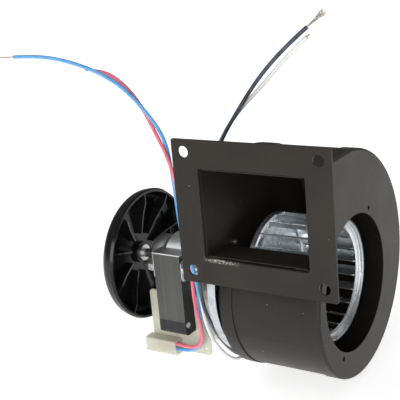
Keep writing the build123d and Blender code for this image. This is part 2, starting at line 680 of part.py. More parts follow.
with BuildPart() as cooling_fan:
    add(bowl.part)
    for step in range(FAN_BLADES):
        add(one_vane.part.rotate(SHAFT_LINE, step * 360 / FAN_BLADES))
save(cooling_fan.part, "cooling_fan")
with BuildPart() as fan_hub:
    add(turned([(FAN_BACK - 2.0, SHAFT_R), (FAN_BACK - 2.0, FAN_HUB_R), (FAN_FLOOR + 5.5, FAN_HUB_R),
                (FAN_FLOOR + 5.5, SHAFT_R)]))
save(fan_hub.part, "cooling_fan_hub")

# ---------------------------------------------------------------- terminal cover and the four leads
COVER_W = 31.0
COVER_H = 13.5
COVER_D = 11.0
COVER_WALL = 1.0
COVER_CORNER = 1.6
CRIMP_L = 8.0
CRIMP_R = 2.0
COVER_X = -115.0             # the cover's open end, where the first two leads come out
COVER_MID_Z = -144.8
cover_back = SHAFT_Y - BOBBIN_HALF
with BuildPart() as cover:
    with BuildSketch(Plane.YZ.offset(COVER_X - COVER_W)):
        with Locations((cover_back - COVER_D / 2, COVER_MID_Z)):
            RectangleRounded(COVER_D, COVER_H, COVER_CORNER)
    extrude(amount=COVER_W)
    with BuildSketch(Plane.YZ.offset(COVER_X - COVER_W + COVER_WALL)):
        with Locations((cover_back - COVER_D / 2, COVER_MID_Z)):
            RectangleRounded(COVER_D - 2 * COVER_WALL, COVER_H - 2 * COVER_WALL, COVER_CORNER - 0.6)
    extrude(amount=COVER_W, mode=Mode.SUBTRACT)
save(cover.part, "terminal_cover")

ROUTES = {
    "red_lead": [
        (-124, 53.6, -141.4), (-114, 53.6, -141.4), (-101, 53, -141.7), (-91.5, 51.2, -138.2),
        (-85.5, 49, -129), (-85, 46.5, -115), (-86, 43.5, -98), (-85.5, 41.5, -80), (-83.5, 39.5, -55),
        (-83.5, 39, -22), (-86.5, 34.5, 6), (-91, 33.5, 29), (-102.5, 36, 48), (-115, 39, 67),
        (-126, 40, 80), (-138, 40, 89.5), (-151, 40.5, 95), (-162, 40, 95.5)],
    "blue_lead": [
        (-124, 55, -147), (-114, 55, -147), (-103, 55.3, -146.2), (-94, 56, -141), (-90.5, 56, -130),
        (-88.5, 52.5, -114), (-83.5, 46.5, -93), (-79.5, 39.5, -76), (-80.5, 35, -54), (-88, 35.5, -27),
        (-91, 38, 0), (-92.8, 38, 22), (-94.5, 37.5, 38), (-98.5, 36, 50.5), (-106, 35, 61.5),
        (-118, 35, 74), (-132, 35, 85.5), (-150, 35, 94.5), (-172, 35, 101.5), (-195, 35, 106),
        (-218, 35, 107.8), (-240, 35, 107)],
    "black_lead": [
        (-93.6, 84, -108), (-82, 84, -108), (-69, 90, -113), (-59.5, 99, -131), (-60, 94, -146),
        (-61, 80, -151.5), (-61.5, 63, -145), (-61, 48, -131), (-58.5, 33, -115), (-57.5, 22, -99),
        (-58.5, 15, -82), (-61, 16, -62), (-62.5, 22, -40), (-60.5, 30, -10), (-53, 35, 22),
        (-43.5, 35, 45), (-26.5, 35, 69), (-6, 35, 95), (17, 35, 116.5), (33, 35, 128.5)],
    "white_lead": [
        (-93.6, 84, -120), (-83, 84, -120), (-72, 90, -125), (-64.5, 99, -140), (-66, 93, -153),
        (-67.5, 79, -157), (-68, 64, -151.5), (-67.5, 49, -137), (-65, 34, -120.5), (-63, 24.5, -104),
        (-63.5, 20, -84), (-66, 25, -62), (-67, 31, -40), (-64, 36, -10), (-57, 39, 21), (-48, 40, 43),
        (-31, 40.5, 66), (-5.5, 38.5, 88), (14, 36, 107), (33, 34, 122)],
}
BARE_LENGTH = {"red_lead": 7.0, "blue_lead": 17.0, "black_lead": 18.0, "white_lead": 3.0}
FAN_OUT = {"black_lead": -8}  # degrees that the untwisted strands open out by

with BuildPart() as crimps:
    for name in ("red_lead", "blue_lead"):
        x, y, z = ROUTES[name][0]
        with BuildSketch(Plane.YZ.offset(x)):
            with Locations((y, z)):
                Circle(CRIMP_R)
        extrude(amount=-CRIMP_L)
save(crimps.part, "lead_crimps")


def swept(points, radius, name):
    """A round lead along its route: straight runs joined by arcs as large as the runs allow."""
    spots = [Vector(*point) for point in points]
    radii = []
    for before, here, after in zip(spots, spots[1:], spots[2:]):
        turn = math.radians((here - before).get_angle(after - here))
        shorter = min((here - before).length, (after - here).length)
        radii.append(0.45 * shorter / math.tan(turn / 2))
    with BuildPart() as body:
        with BuildLine() as path:
            FilletPolyline(*spots, radius=radii)
        with BuildSketch(Plane(origin=spots[0], z_dir=spots[1] - spots[0])):
            Circle(radius)
        sweep(transition=Transition.ROUND)
    length = path.wires()[0].length
    print(name, "length", round(length), "volume over section times length",
          round(body.part.volume / (math.pi * radius ** 2 * length), 4))
    print("   radii", [round(size) for size in radii])
    return body.part


for name, route in ROUTES.items():
    save(swept(route, LEAD_R, name), name)
    end = Vector(*route[-1])
    onward = (end - Vector(*route[-2])).normalized()
    with BuildPart() as bare:
        with BuildSketch(Plane(origin=end, z_dir=onward)):
            Circle(WIRE_R)
        extrude(amount=BARE_LENGTH[name], taper=FAN_OUT.get(name, 0))
    save(bare.part, name.replace("lead", "wire_end"))
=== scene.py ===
# %% [markdown]
# # Combustion fan
# A combustion fan blows air into a burner. A squirrel-cage wheel spins inside a scroll of painted
# sheet steel, and an open shaded-pole motor hangs on the scroll's side with its own cooling fan.
# The CAD frame gives every shape that fits or moves. This script gives the finishes, the leads and
# the small visible details around it, and everything is placed from the frame's own boxes.

# %% Load the frame
import bpy
import bmesh
import json
import math
import random
from mathutils import Matrix, Vector


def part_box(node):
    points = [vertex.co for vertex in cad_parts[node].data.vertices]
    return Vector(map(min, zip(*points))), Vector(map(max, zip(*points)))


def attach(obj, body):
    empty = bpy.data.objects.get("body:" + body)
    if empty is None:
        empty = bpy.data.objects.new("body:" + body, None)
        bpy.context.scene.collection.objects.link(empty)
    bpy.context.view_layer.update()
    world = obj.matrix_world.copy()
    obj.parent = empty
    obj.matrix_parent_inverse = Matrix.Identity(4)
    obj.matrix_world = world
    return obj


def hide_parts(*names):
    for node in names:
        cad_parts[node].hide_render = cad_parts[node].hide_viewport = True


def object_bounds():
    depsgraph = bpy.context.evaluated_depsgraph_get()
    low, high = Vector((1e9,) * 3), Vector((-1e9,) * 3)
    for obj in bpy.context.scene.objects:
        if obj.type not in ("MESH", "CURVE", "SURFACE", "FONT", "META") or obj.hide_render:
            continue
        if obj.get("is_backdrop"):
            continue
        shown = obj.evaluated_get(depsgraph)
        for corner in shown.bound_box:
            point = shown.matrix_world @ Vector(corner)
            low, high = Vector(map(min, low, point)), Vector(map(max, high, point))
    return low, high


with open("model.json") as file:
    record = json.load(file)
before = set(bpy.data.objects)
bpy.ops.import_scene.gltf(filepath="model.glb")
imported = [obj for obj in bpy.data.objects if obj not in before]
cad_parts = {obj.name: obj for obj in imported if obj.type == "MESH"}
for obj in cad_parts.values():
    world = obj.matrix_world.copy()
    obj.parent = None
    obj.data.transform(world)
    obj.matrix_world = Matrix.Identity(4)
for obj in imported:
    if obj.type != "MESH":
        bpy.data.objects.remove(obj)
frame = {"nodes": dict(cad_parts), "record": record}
CAD_LOW, CAD_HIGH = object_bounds()
MM = 0.001
print("nodes", len(frame["nodes"]), "box", [round(side / MM, 1) for side in CAD_HIGH - CAD_LOW], "mm")

# %% [markdown]
# ## Camera
# A product picture of a fan like this is taken from a little above, with a long lens, so that the
# flange stays nearly square. The camera could be aimed with a constraint, but three direction
# vectors say exactly where it stands and how it is rolled, and nothing has to be solved again.

# %% Place the camera
CAMERA_AT = Vector((0.3249, -0.5413, 0.2066))
CAMERA_RIGHT = Vector((0.83863, 0.53780, -0.08642))
CAMERA_FORWARD = Vector((-0.53786, 0.79253, -0.28741))
LENS_MM = 85.1
camera_data = bpy.data.cameras.new("camera")
camera_data.lens = LENS_MM
camera_data.sensor_width = 36.0
camera_data.clip_start = 0.01
camera = bpy.data.objects.new("camera", camera_data)
bpy.context.scene.collection.objects.link(camera)
back = -CAMERA_FORWARD.normalized()
right = (CAMERA_RIGHT - CAMERA_RIGHT.dot(back) * back).normalized()
up = back.cross(right)
camera.matrix_world = Matrix.Translation(CAMERA_AT) @ Matrix((right, up, back)).transposed().to_4x4()
bpy.context.scene.camera = camera
print("camera stands", round((CAMERA_AT - (CAD_LOW + CAD_HIGH) / 2).length, 3), "m from the middle")

# %% [markdown]
# ## Leads
# Four stiff hook-up wires leave the motor. Each is one NURBS curve whose control points are the
# route that the CAD tube follows, so it bends as smoothly as a real lead does and keeps its length.
# A mesh tube would need its path sampled, and would lose that. The covered part is the curve's own
# round bevel. The bevel is one metre deep and each point's radius scales it down, because the
# frame's bounds count the radii of a curve's points.

# %% The routes, from the motor to the stripped ends
LEAD_R = 0.0015
ROUTES = {
    "red_lead": [
        (-0.124, 0.0536, -0.1414), (-0.114, 0.0536, -0.1414), (-0.101, 0.053, -0.1417),
        (-0.0915, 0.0512, -0.1382), (-0.0855, 0.049, -0.129), (-0.085, 0.0465, -0.115),
        (-0.086, 0.0435, -0.098), (-0.0855, 0.0415, -0.08), (-0.0835, 0.0395, -0.055),
        (-0.0835, 0.039, -0.022), (-0.0865, 0.0345, 0.006), (-0.091, 0.0335, 0.029),
        (-0.1025, 0.036, 0.048), (-0.115, 0.039, 0.067), (-0.126, 0.04, 0.08), (-0.138, 0.04, 0.0895),
        (-0.151, 0.0405, 0.095), (-0.162, 0.04, 0.0955)],
    "blue_lead": [
        (-0.124, 0.055, -0.147), (-0.114, 0.055, -0.147), (-0.103, 0.0553, -0.1462),
        (-0.094, 0.056, -0.141), (-0.0905, 0.056, -0.13), (-0.0885, 0.0525, -0.114),
        (-0.0835, 0.0465, -0.093), (-0.0795, 0.0395, -0.076), (-0.0805, 0.035, -0.054),
        (-0.088, 0.0355, -0.027), (-0.091, 0.038, 0), (-0.0928, 0.038, 0.022), (-0.0945, 0.0375, 0.038),
        (-0.0985, 0.036, 0.0505), (-0.106, 0.035, 0.0615), (-0.118, 0.035, 0.074),
        (-0.132, 0.035, 0.0855), (-0.15, 0.035, 0.0945), (-0.172, 0.035, 0.1015),
        (-0.195, 0.035, 0.106), (-0.218, 0.035, 0.1078), (-0.24, 0.035, 0.107)],
    "black_lead": [
        (-0.0936, 0.084, -0.108), (-0.082, 0.084, -0.108), (-0.069, 0.09, -0.113),
        (-0.0595, 0.099, -0.131), (-0.06, 0.094, -0.146), (-0.061, 0.08, -0.1515),
        (-0.0615, 0.063, -0.145), (-0.061, 0.048, -0.131), (-0.0585, 0.033, -0.115),
        (-0.0575, 0.022, -0.099), (-0.0585, 0.015, -0.082), (-0.061, 0.016, -0.062),
        (-0.0625, 0.022, -0.04), (-0.0605, 0.03, -0.01), (-0.053, 0.035, 0.022),
        (-0.0435, 0.035, 0.045), (-0.0265, 0.035, 0.069), (-0.006, 0.035, 0.095),
        (0.017, 0.035, 0.1165), (0.033, 0.035, 0.1285)],
    "white_lead": [
        (-0.0936, 0.084, -0.12), (-0.083, 0.084, -0.12), (-0.072, 0.09, -0.125),
        (-0.0645, 0.099, -0.14), (-0.066, 0.093, -0.153), (-0.0675, 0.079, -0.157),
        (-0.068, 0.064, -0.1515), (-0.0675, 0.049, -0.137), (-0.065, 0.034, -0.1205),
        (-0.063, 0.0245, -0.104), (-0.0635, 0.02, -0.084), (-0.066, 0.025, -0.062),
        (-0.067, 0.031, -0.04), (-0.064, 0.036, -0.01), (-0.057, 0.039, 0.021), (-0.048, 0.04, 0.043),
        (-0.031, 0.0405, 0.066), (-0.0055, 0.0385, 0.088), (0.014, 0.036, 0.107),
        (0.033, 0.034, 0.122)],
}
BARE_LENGTH = {"red_lead": 0.007, "blue_lead": 0.017, "black_lead": 0.018, "white_lead": 0.003}


# %% Draw each lead as one smooth curve
FULL_BEVEL = 1.0
CURVE_STEPS = 16


def wire_curve(name, paths, radius, sides=6):
    """A curve object with one NURBS spline for each list of points, as thick as its points say."""
    data = bpy.data.curves.new(name, "CURVE")
    data.dimensions = "3D"
    data.bevel_depth = FULL_BEVEL
    data.bevel_resolution = sides
    data.resolution_u = CURVE_STEPS
    data.use_fill_caps = True
    for path in paths:
        spline = data.splines.new("NURBS")
        spline.points.add(len(path) - 1)
        for point, spot in zip(spline.points, path):
            point.co = (*spot, 1.0)
            point.radius = radius
        spline.order_u = 3
        spline.use_endpoint_u = True
    made = bpy.data.objects.new(name, data)
    bpy.context.scene.collection.objects.link(made)
    return made


LEADS = {}
for name, route in ROUTES.items():
    LEADS[name] = wire_curve(name + "_cover", [route], LEAD_R)
    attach(LEADS[name], "housing")
    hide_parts(name)
    print(name, "runs", round(max(spot[2] for spot in route) / MM), "mm high")

# %% [markdown]
# ## Shader maths as Python
# A procedural finish is a formula over the surface. Written node by node it is hard to read, so a
# small class wraps a socket and turns each Python operator into the Math node that it stands for.
# Every other node comes from one method, which sets the node's settings first and then its sockets.

# %% Wrap a socket, so that maths on it adds nodes
class Value:
    """A number that changes over the surface: one output socket of a finish's node tree."""

    def __init__(self, finish, socket):
        self.finish = finish
        self.socket = socket

    def maths(self, operation, first, second=0.0):
        return self.finish.node("ShaderNodeMath", {"operation": operation}, {0: first, 1: second})

    def __add__(self, other):
        return self.maths("ADD", self, other)

    def __sub__(self, other):
        return self.maths("SUBTRACT", self, other)

    def __rsub__(self, other):
        return self.maths("SUBTRACT", other, self)

    def __mul__(self, other):
        return self.maths("MULTIPLY", self, other)

    def __truediv__(self, other):
        return self.maths("DIVIDE", self, other)

    def __pow__(self, other):
        return self.maths("POWER", self, other)

    def __gt__(self, other):
        return self.maths("GREATER_THAN", self, other)

    def __lt__(self, other):
        return self.maths("LESS_THAN", self, other)

    def __abs__(self):
        return self.maths("ABSOLUTE", self)


# %% Make a finish and its usual building blocks
class Finish:
    """One material under construction, with a Principled shader whose even values are constants."""

    def __init__(self, name, **constants):
        self.material = bpy.data.materials.new(name)
        self.material.use_nodes = True
        self.tree = self.material.node_tree
        self.shader = self.tree.nodes["Principled BSDF"]
        for socket, value in constants.items():
            self.shader.inputs[socket.replace("_", " ")].default_value = value
        self.place = self.node("ShaderNodeTexCoord", output="Object")
        self.facing = self.node("ShaderNodeTexCoord", output="Normal")

    def node(self, kind, settings=None, inputs=None, output=0):
        """Any node: its settings first, then the values or links of its sockets."""
        made = self.tree.nodes.new(kind)
        for name, value in (settings or {}).items():
            setattr(made, name, value)
        for name, value in (inputs or {}).items():
            if isinstance(value, Value):
                self.tree.links.new(value.socket, made.inputs[name])
            else:
                made.inputs[name].default_value = value
        return Value(self, made.outputs[output])

    def stretched(self, scale):
        """The place on the object, scaled differently along each axis, for grain and streaks."""
        return self.node("ShaderNodeVectorMath", {"operation": "MULTIPLY"}, {0: self.place, 1: scale})

    def along(self, axis, of=None):
        """One coordinate, 0 to 2, of the place or of another vector."""
        return self.node("ShaderNodeSeparateXYZ", None, {0: of or self.place}, output=axis)

    def noise(self, scale, detail=3.0, roughness=0.5, where=None):
        inputs = {"Vector": where or self.place, "Scale": scale, "Detail": detail, "Roughness": roughness}
        return self.node("ShaderNodeTexNoise", None, inputs)

    def cells(self, scale, output="Distance"):
        return self.node("ShaderNodeTexVoronoi", None, {"Vector": self.place, "Scale": scale}, output)

    def between(self, value, low, high, out_low=0.0, out_high=1.0):
        """value taken from the range low to high into the range out_low to out_high, and held there."""
        inputs = {"Value": value, "From Min": low, "From Max": high, "To Min": out_low, "To Max": out_high}
        return self.node("ShaderNodeMapRange", None, inputs)

    def mix(self, share, first, second):
        """A colour between two colours."""
        colours = {0: share}
        for socket, colour in ((6, first), (7, second)):
            colours[socket] = colour if isinstance(colour, Value) else (*colour, 1.0)
        return self.node("ShaderNodeMix", {"data_type": "RGBA"}, colours, output=2)

    def colour(self, value):
        self.tree.links.new(value.socket, self.shader.inputs["Base Color"])

    def roughness(self, value):
        self.tree.links.new(value.socket, self.shader.inputs["Roughness"])

    def glow(self, value):
        self.tree.links.new(value.socket, self.shader.inputs["Emission Color"])

    def relief(self, height, depth):
        """Bump from a height of 0 to 1, which stands for depth in metres."""
        bump = self.node("ShaderNodeBump", None, {"Height": height, "Distance": depth, "Strength": 1.0})
        self.tree.links.new(bump.socket, self.shader.inputs["Normal"])


MADE = {}


def keep(name, finish):
    MADE[name] = finish.material
    print("finish", name, "with", len(finish.tree.nodes), "nodes")


# %% [markdown]
# ## Baked paint
# The scroll is dipped or sprayed in a dark brown-grey enamel and baked. It is satin, with a fine
# orange peel, a cloudy change of gloss where hands and dust have been, and a few pale specks. The
# peel is bump at the size of real paint, and the clouds only change colour and gloss. A few crumbs
# of bright weld spatter are left in the mouth's lower corner on the motor's side.

# %% Housing paint
SPATTER_IN = 0.014
SPATTER_DOWN = 0.002
SPATTER_DEPTH = 0.0015
duct_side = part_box("motor_side_plate")[0].x
duct_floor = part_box("cutoff_plate")[1].z
SPATTER = (duct_side + SPATTER_IN, duct_floor - SPATTER_DOWN)
print("spatter at", [round(place / MM, 1) for place in SPATTER], "mm")


def housing_paint():
    paint = Finish("housing_paint", Metallic=0.0, Specular_IOR_Level=0.24)
    across = paint.between(abs(paint.along(0) - SPATTER[0]), 0.006, 0.016, 1.0, 0.0)
    upward = paint.between(abs(paint.along(2) - SPATTER[1]), 0.0008, 0.0026, 1.0, 0.0)
    shallow = paint.along(1) < SPATTER_DEPTH
    crumbs = paint.noise(900.0, detail=4.0, roughness=0.7) > 0.52
    spatter = across * upward * shallow * crumbs
    peel = paint.noise(1400.0, detail=2.0)
    clouds = paint.noise(28.0, detail=5.0, roughness=0.6)
    fine = paint.noise(420.0, detail=3.0)
    specks = paint.cells(210.0) < 0.075
    body = paint.mix(paint.between(clouds, 0.3, 0.7), (0.021, 0.018, 0.014), (0.031, 0.027, 0.022))
    body = paint.mix(specks * (fine > 0.60), body, (0.42, 0.41, 0.40))
    paint.colour(paint.mix(spatter, body, (0.62, 0.60, 0.55)))
    paint.roughness(paint.between(clouds, 0.25, 0.75, 0.34, 0.47) + fine * 0.05)
    paint.relief(peel * 0.7 + fine * 0.3, 0.00005)
    keep("housing_paint", paint)


housing_paint()

# %% [markdown]
# ## Zinc in three forms
# Hot-dip galvanised sheet crystallises into spangles, each with its own tilt and shine, so cells
# carry one random value each. Electroplated zinc is smooth with faint handling marks. The wheel is
# pressed from pre-galvanised strip and is brighter, with drawing lines along its blades.

# %% Galvanised sheet
def galvanised():
    zinc = Finish("galvanised", Metallic=0.92)
    wander = zinc.noise(160.0, detail=2.0)
    spangle = zinc.along(0, of=zinc.cells(190.0, output="Color"))
    needles = zinc.noise(900.0, detail=3.0, where=zinc.stretched((1.0, 0.35, 1.0)))
    shade = spangle * 0.7 + wander * 0.3
    zinc.colour(zinc.mix(shade, (0.42, 0.45, 0.48), (0.72, 0.76, 0.80)))
    zinc.roughness(zinc.between(shade, 0.1, 0.9, 0.24, 0.46) + needles * 0.06)
    zinc.relief(spangle * 0.5 + needles * 0.5, 0.00004)
    keep("galvanised", zinc)


# %% Zinc plate
def zinc_plate():
    plate = Finish("zinc_plate", Metallic=0.95)
    haze = plate.noise(75.0, detail=4.0)
    rub = plate.noise(700.0, detail=4.0, where=plate.stretched((0.25, 1.0, 1.0)))
    stain = plate.between(plate.noise(45.0, detail=5.0), 0.55, 0.75)
    clean = plate.mix(haze, (0.62, 0.62, 0.61), (0.82, 0.83, 0.83))
    plate.colour(plate.mix(stain * 0.45, clean, (0.52, 0.47, 0.38)))
    plate.roughness(plate.between(haze, 0.3, 0.7, 0.22, 0.36) + rub * 0.10)
    plate.relief(rub, 0.00002)
    keep("zinc_plate", plate)


# %% Wheel strip
def wheel_zinc():
    strip = Finish("wheel_zinc", Metallic=0.94)
    drawn = strip.noise(1300.0, detail=3.0, where=strip.stretched((0.08, 1.0, 1.0)))
    bloom = strip.noise(120.0, detail=4.0)
    spangle = strip.along(0, of=strip.cells(260.0, output="Color"))
    strip.colour(strip.mix(bloom * 0.6 + spangle * 0.4, (0.70, 0.76, 0.80), (0.94, 0.97, 0.99)))
    strip.roughness(strip.between(bloom, 0.3, 0.7, 0.20, 0.32) + drawn * 0.08)
    strip.relief(drawn, 0.000006)
    keep("wheel_zinc", strip)


galvanised()
zinc_plate()
wheel_zinc()

# %% [markdown]
# ## Laminated iron
# The stack is about fifty punched sheets, each half a millimetre thick. Seen on edge it is a pale
# stack of lines, no two quite alike. Seen flat, it is one sheet under dark varnish. One finish does
# both: the surface's own direction says whether it shows an edge or a face.

# %% Laminations
SHEET_PITCH = 0.0005


def laminated(name, edge_dark, edge_pale, varnish):
    iron = Finish(name, Metallic=0.55, Specular_IOR_Level=0.4)
    layer = iron.along(0) / SHEET_PITCH
    seam = abs(iron.node("ShaderNodeMath", {"operation": "FRACT"}, {0: layer}) - 0.5) * 2.0
    number = iron.node("ShaderNodeMath", {"operation": "FLOOR"}, {0: layer})
    own = iron.node("ShaderNodeTexWhiteNoise", {"noise_dimensions": "1D"}, {"W": number})
    burr = iron.noise(500.0, detail=4.0)
    gap = iron.between(seam, 0.72, 0.98)
    edge = iron.mix(own * 0.6 + burr * 0.4, edge_dark, edge_pale)
    edge = iron.mix(gap * 0.35, edge, varnish)
    flat = abs(iron.along(0, of=iron.facing)) > 0.7
    blotch = iron.noise(90.0, detail=5.0)
    face = iron.mix(blotch, varnish, [channel * 1.9 for channel in varnish])
    iron.colour(iron.mix(flat, edge, face))
    iron.roughness(iron.between(burr, 0.3, 0.7, 0.38, 0.56) - flat * 0.10)
    iron.relief((1 - gap) * (1 - flat) * 0.8 + burr * 0.2, 0.00006)
    keep(name, iron)


laminated("lamination", (0.090, 0.090, 0.086), (0.150, 0.150, 0.144), (0.010, 0.010, 0.011))
laminated("dark_lamination", (0.030, 0.030, 0.033), (0.055, 0.055, 0.060), (0.012, 0.012, 0.013))

# %% [markdown]
# ## Nylon
# The bobbin and the terminal cover are natural nylon, milky and a little yellow. Light enters it and
# comes out nearby, which subsurface scattering gives. The cover is thin enough for the leads to show
# through as pale ghosts. Real transmission would darken them, so its finish is partly clear instead.

# %% Nylon, thick and thin
def nylon(name, alpha, tint_low, tint_high):
    moulded = Finish(name, Subsurface_Weight=0.35, Subsurface_Scale=0.004, Subsurface_Radius=(0.8, 0.9, 0.7),
                     Alpha=alpha, IOR=1.53)
    cloud = moulded.noise(60.0, detail=4.0)
    flow = moulded.noise(260.0, detail=3.0, where=moulded.stretched((1.0, 1.0, 0.3)))
    moulded.colour(moulded.mix(cloud * 0.7 + flow * 0.3, tint_low, tint_high))
    moulded.roughness(moulded.between(flow, 0.3, 0.7, 0.26, 0.42))
    moulded.relief(flow, 0.00003)
    keep(name, moulded)


nylon("nylon", 1.0, (0.60, 0.59, 0.47), (0.74, 0.73, 0.61))
nylon("thin_nylon", 0.5, (0.74, 0.73, 0.60), (0.86, 0.85, 0.72))

# %% [markdown]
# ## Coil
# Enamelled copper wire is wound in neat layers round the bobbin and covered with a few turns of
# glossy tape. Both are stripes across the coil's axis: fine round ones for the wire, and wide flat
# ones with a raised edge for the tape. Their colour is partly painted light: painted shade in the
# grooves between wire turns and along each tape edge, and a painted highlight on each wire's crown.

# %% Winding and tape
def striped(name, pitch, dark, pale, rough_low, rough_high, depth, metallic, crown):
    wound = Finish(name, Metallic=metallic)
    turn = wound.node("ShaderNodeMath", {"operation": "FRACT"}, {0: wound.along(1) / pitch})
    ridge_and_painted_shade = 1 - (abs(turn - 0.5) * 2.0) ** crown
    age = wound.noise(140.0, detail=4.0)
    # Painted light: the dark colour is painted shade in the grooves between wire turns and along each tape
    # edge, and the pale one is a painted highlight on the crown of each wire turn.
    wound.colour(wound.mix(ridge_and_painted_shade * 0.6 + age * 0.4, dark, pale))
    wound.roughness(wound.between(age, 0.3, 0.7, rough_low, rough_high))
    wound.relief(ridge_and_painted_shade * 0.9 + age * 0.1, depth)
    keep(name, wound)


# The first colour of each is the painted shade where the turns meet.
striped("winding", 0.0004, (0.20, 0.05, 0.02), (0.58, 0.20, 0.07), 0.18, 0.30, 0.00015, 0.5, 2.0)
striped("tape", 0.0080, (0.66, 0.64, 0.54), (0.86, 0.84, 0.76), 0.16, 0.30, 0.00006, 0.0, 12.0)

# %% [markdown]
# ## Turned and cast metals
# Shaft, bearings, rings and screws differ mostly in colour and in which way the tool left its marks.
# One function makes them: fine lines along one axis from stretched noise, a slow change of tone and
# a little dirt.

# %% Turned metals
def turned_metal(name, dark, pale, rough_low, rough_high, grain, dirt=(0.06, 0.05, 0.04), dirt_share=0.25):
    metal = Finish(name, Metallic=0.95)
    lines = metal.noise(1500.0, detail=3.0, where=metal.stretched(grain))
    tone = metal.noise(110.0, detail=4.0)
    grime = metal.between(metal.noise(170.0, detail=6.0), 0.55, 0.72) * dirt_share
    metal.colour(metal.mix(grime, metal.mix(tone, dark, pale), dirt))
    metal.roughness(metal.between(tone, 0.3, 0.7, rough_low, rough_high) + lines * 0.10 + grime * 0.3)
    metal.relief(lines, 0.00002)
    keep(name, metal)


ROUND = (1.0, 0.06, 0.06)
EVEN = (1.0, 1.0, 1.0)
turned_metal("shaft_steel", (0.46, 0.46, 0.47), (0.72, 0.72, 0.73), 0.14, 0.26, ROUND)
turned_metal("bronze", (0.36, 0.20, 0.09), (0.62, 0.40, 0.20), 0.34, 0.48, EVEN)
turned_metal("copper", (0.55, 0.24, 0.12), (0.85, 0.45, 0.28), 0.22, 0.36, EVEN)
turned_metal("aluminium", (0.56, 0.57, 0.58), (0.78, 0.79, 0.80), 0.32, 0.46, EVEN)
turned_metal("brass", (0.48, 0.36, 0.16), (0.80, 0.64, 0.34), 0.20, 0.34, ROUND)
turned_metal("dark_steel", (0.05, 0.05, 0.055), (0.12, 0.12, 0.13), 0.30, 0.44, EVEN)
turned_metal("tinned_wire", (0.50, 0.42, 0.33), (0.86, 0.82, 0.74), 0.20, 0.34, EVEN, dirt_share=0.1)

# %% [markdown]
# ## Felt, fan plastic and lead covers
# The oil felts are matted fibre. The cooling fan is glossy black moulding, with flow marks that are
# only seen in its highlights. The leads are PVC, slightly matt, and take up a little dust.

# %% Felt
def felt():
    wool = Finish("felt", Sheen_Weight=0.4, Sheen_Roughness=0.6)
    fibre = wool.noise(2200.0, detail=6.0, roughness=0.7)
    oil = wool.noise(150.0, detail=3.0)
    wool.colour(wool.mix(oil * 0.6 + fibre * 0.4, (0.30, 0.26, 0.18), (0.62, 0.57, 0.46)))
    wool.roughness(wool.between(oil, 0.3, 0.7, 0.75, 0.95))
    wool.relief(fibre, 0.0002)
    keep("felt", wool)


# %% Glossy black plastic
def fan_plastic():
    black = Finish("fan_plastic", Specular_IOR_Level=0.3, Coat_Roughness=0.08)
    flow = black.noise(36.0, detail=4.0)
    scuff = black.noise(1100.0, detail=5.0, where=black.stretched((1.0, 0.3, 1.0)))
    dust = black.between(black.noise(520.0, detail=4.0), 0.62, 0.78)
    black.colour(black.mix(dust * 0.25, (0.008, 0.008, 0.009), (0.10, 0.10, 0.10)))
    black.roughness(black.between(flow, 0.3, 0.7, 0.12, 0.22) + dust * 0.12 + scuff * 0.04)
    black.shader.inputs["Coat Weight"].default_value = 0.10
    black.relief(flow * 0.7 + scuff * 0.3, 0.00006)
    keep("fan_plastic", black)


# %% Lead covers
def lead_cover(name, deep, pale):
    cover = Finish(name, Subsurface_Weight=0.08, Subsurface_Scale=0.001, IOR=1.5)
    skin = cover.noise(900.0, detail=3.0)
    grime = cover.noise(85.0, detail=5.0)
    cover.colour(cover.mix(cover.between(grime, 0.3, 0.7), deep, pale))
    cover.roughness(cover.between(grime, 0.3, 0.7, 0.30, 0.44) + skin * 0.06)
    cover.relief(skin, 0.00003)
    keep(name, cover)


felt()
fan_plastic()
lead_cover("red_cover", (0.93, 0.17, 0.23), (1.0, 0.26, 0.32))
lead_cover("blue_cover", (0.10, 0.38, 0.78), (0.18, 0.50, 0.92))
lead_cover("black_cover", (0.022, 0.028, 0.042), (0.095, 0.112, 0.150))
lead_cover("white_cover", (0.74, 0.74, 0.72), (0.88, 0.88, 0.86))

# %% [markdown]
# ## Dress the frame
# On the real fan each piece arrives with its own finish before it is put together. The finishes
# could be set piece by piece, but the record already says which one each node has, so one loop
# dresses them all. The terminal cover is the only exception: it is the same nylon, but so thin that
# it needs the clearer finish.

# %% Give every CAD node its finish
for part in frame["record"]["subparts"]:
    node = frame["nodes"][part["node"]]
    name = "thin_nylon" if part["node"] == "terminal_cover" else part["material_slot"]
    node.data.materials.clear()
    node.data.materials.append(MADE[name])

# %% [markdown]
# ## Wheel rings
# The wheel's two end rings are rolled from strip, with two soft beads round their edge and a curled
# lip. The CAD rings have the right outside but square steps. A lathed band with the beads drawn in
# as a smooth profile catches light the way rolled metal does, and it spins with the rotor.

# %% Turn the two rings
RING_STEPS = 192
RING_PROFILE = [
    (0.00, 0.832), (0.00, 0.992), (0.05, 0.996), (0.10, 0.990), (0.16, 0.976), (0.22, 0.978),
    (0.30, 0.992), (0.38, 0.997), (0.46, 0.990), (0.54, 0.972), (0.60, 0.970), (0.66, 0.980),
    (0.74, 0.996), (0.82, 1.000), (0.90, 0.999), (0.96, 0.992), (1.00, 0.976), (0.985, 0.956),
    (0.95, 0.950), (0.90, 0.955), (0.86, 0.962), (0.16, 0.958), (0.12, 0.945), (0.11, 0.832)]


